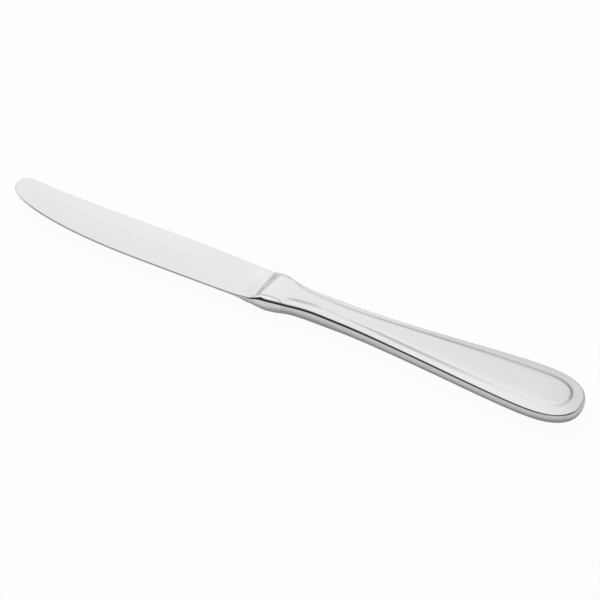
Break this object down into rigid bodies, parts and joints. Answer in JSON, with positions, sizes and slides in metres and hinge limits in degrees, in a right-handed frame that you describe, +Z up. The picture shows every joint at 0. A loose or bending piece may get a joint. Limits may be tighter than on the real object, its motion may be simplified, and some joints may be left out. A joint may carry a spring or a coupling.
{
  "type": "dessert knife",
  "caption": "Dessert knife with a round-tipped blade, sloped shoulder, bolster and slim hollow handle with a raised panel, for cutting soft food at the table.",
  "frame": {"origin": "under the middle of the knife, on the surface that it lies on", "axes": "+X along the knife from the blade's tip to the butt of the handle, +Y to the spine, +Z up through the knife"},
  "size_m": [0.2112, 0.0204, 0.0058],
  "materials": {
    "blade_steel": "polished stainless steel",
    "handle_steel": "polished stainless steel",
    "braze": "silver braze, polished flush",
    "cement": "dull grey cement"
  },
  "bodies": {
    "root": {"blade": "blade_steel", "handle_face": "handle_steel", "handle_back": "handle_steel", "rim_braze": "braze", "mouth_braze": "braze", "tang_cement": "cement"}
  },
  "joints": []
}
